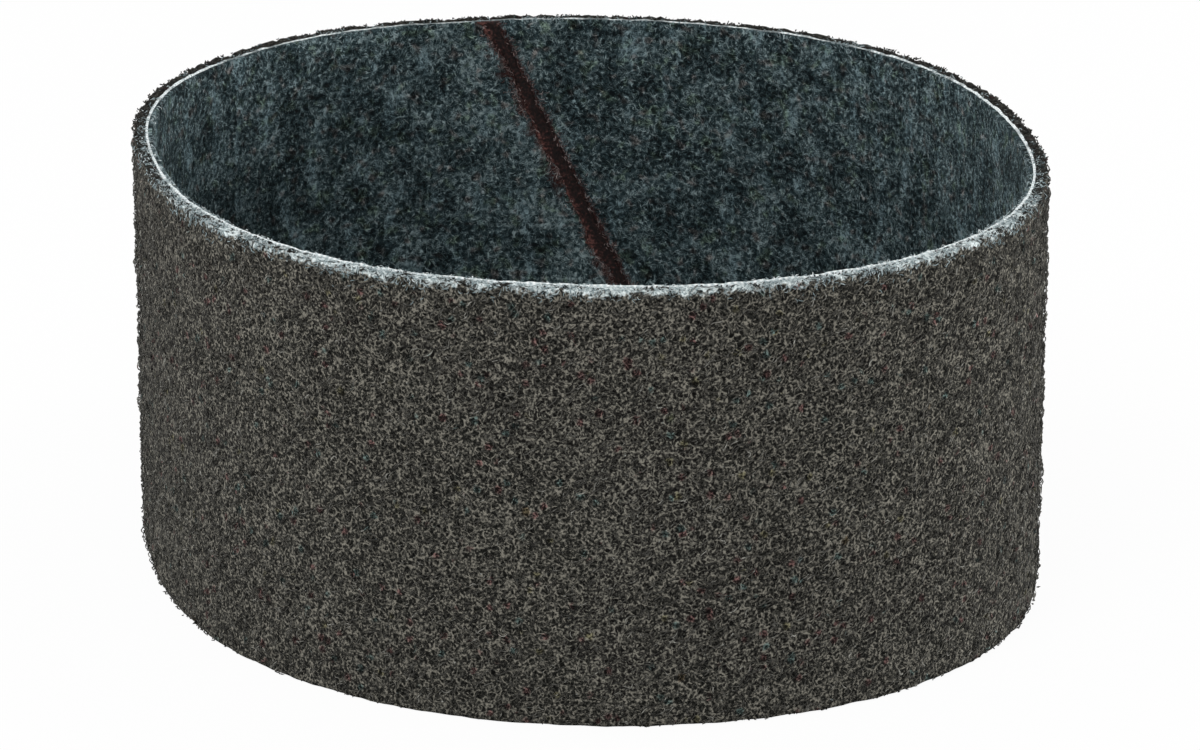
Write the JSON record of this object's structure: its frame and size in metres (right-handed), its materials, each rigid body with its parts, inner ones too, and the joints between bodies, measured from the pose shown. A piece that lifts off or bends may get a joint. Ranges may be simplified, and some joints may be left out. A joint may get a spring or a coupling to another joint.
{
  "type": "non-woven abrasive belt",
  "caption": "Endless belt of open nylon web on a woven scrim with a felted back, joined by a bias butt splice, standing on its edge as an open loop.",
  "frame": {"origin": "middle of the loop's bounding box, at the bottom cut edge that it stands on", "axes": "+Z across the belt's width, up through the open loop; +Y along the loop's longer free diameter, away from the picture's camera; +X to its right"},
  "size_m": [0.1629, 0.1839, 0.075],
  "materials": {
    "abrasive_web": "open tangle of crimped nylon fibres coated with resin and grain, charcoal brown, matt",
    "woven_scrim": "pale woven polyester cloth with a frayed cut edge",
    "felt_backing": "blue-grey needled felt with short pale fibres, matt",
    "splice_adhesive": "cured dark red-brown adhesive, slightly glossy"
  },
  "bodies": {
    "root": {"abrasive_web": "abrasive_web", "woven_scrim": "woven_scrim", "felt_backing": "felt_backing", "splice_adhesive": "splice_adhesive"}
  },
  "joints": []
}
